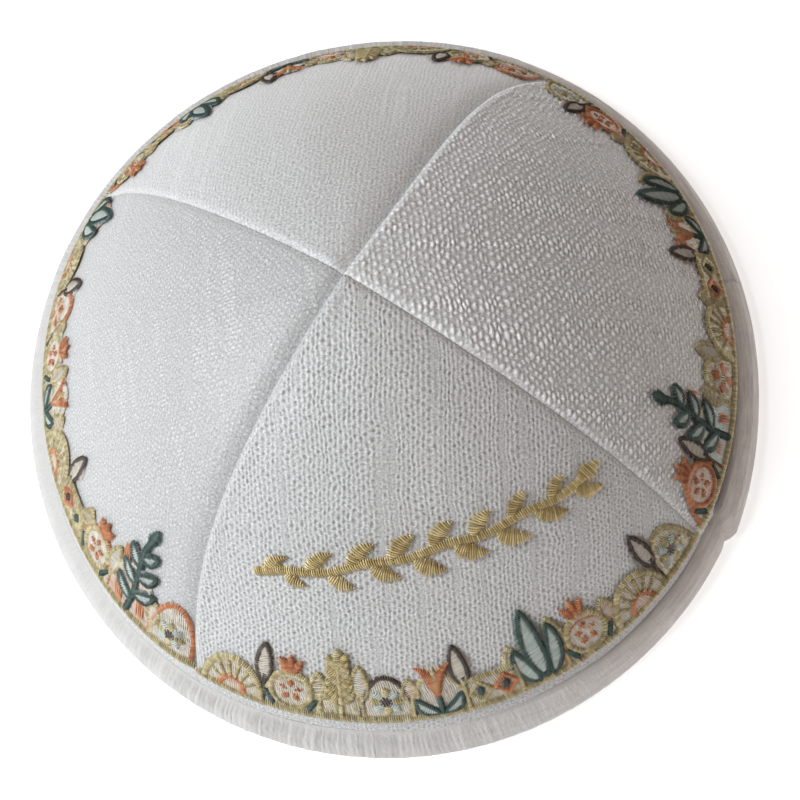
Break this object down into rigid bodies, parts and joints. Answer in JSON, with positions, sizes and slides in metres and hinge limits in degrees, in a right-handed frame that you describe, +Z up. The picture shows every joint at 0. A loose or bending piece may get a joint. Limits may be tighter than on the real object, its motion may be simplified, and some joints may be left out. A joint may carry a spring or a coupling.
{
  "type": "kippah skullcap",
  "caption": "White linen-look skullcap of cloth panels with a ribbed bound rim, an embroidered botanical border and a gold sprig on the front.",
  "frame": {"origin": "middle of the rim, on the surface that the cap rests on", "axes": "+Z up through the crown, -Y towards the front panel, +X to the right as the picture shows it"},
  "size_m": [0.1595, 0.1693, 0.0606],
  "materials": {
    "cloth": "matt white slub weave with a faint sheen",
    "binding": "white ribbed tape",
    "border_thread": "glossy embroidery thread in gold, orange, dark green and cream",
    "gold_thread": "gold metallic embroidery thread"
  },
  "bodies": {
    "root": {"panel_front": "cloth", "panel_right": "cloth", "panel_back": "cloth", "panel_left": "cloth", "rim_binding": "binding", "border_embroidery_front": "border_thread", "border_embroidery_right": "border_thread", "border_embroidery_back": "border_thread", "border_embroidery_left": "border_thread", "front_sprig": "gold_thread"}
  },
  "joints": []
}
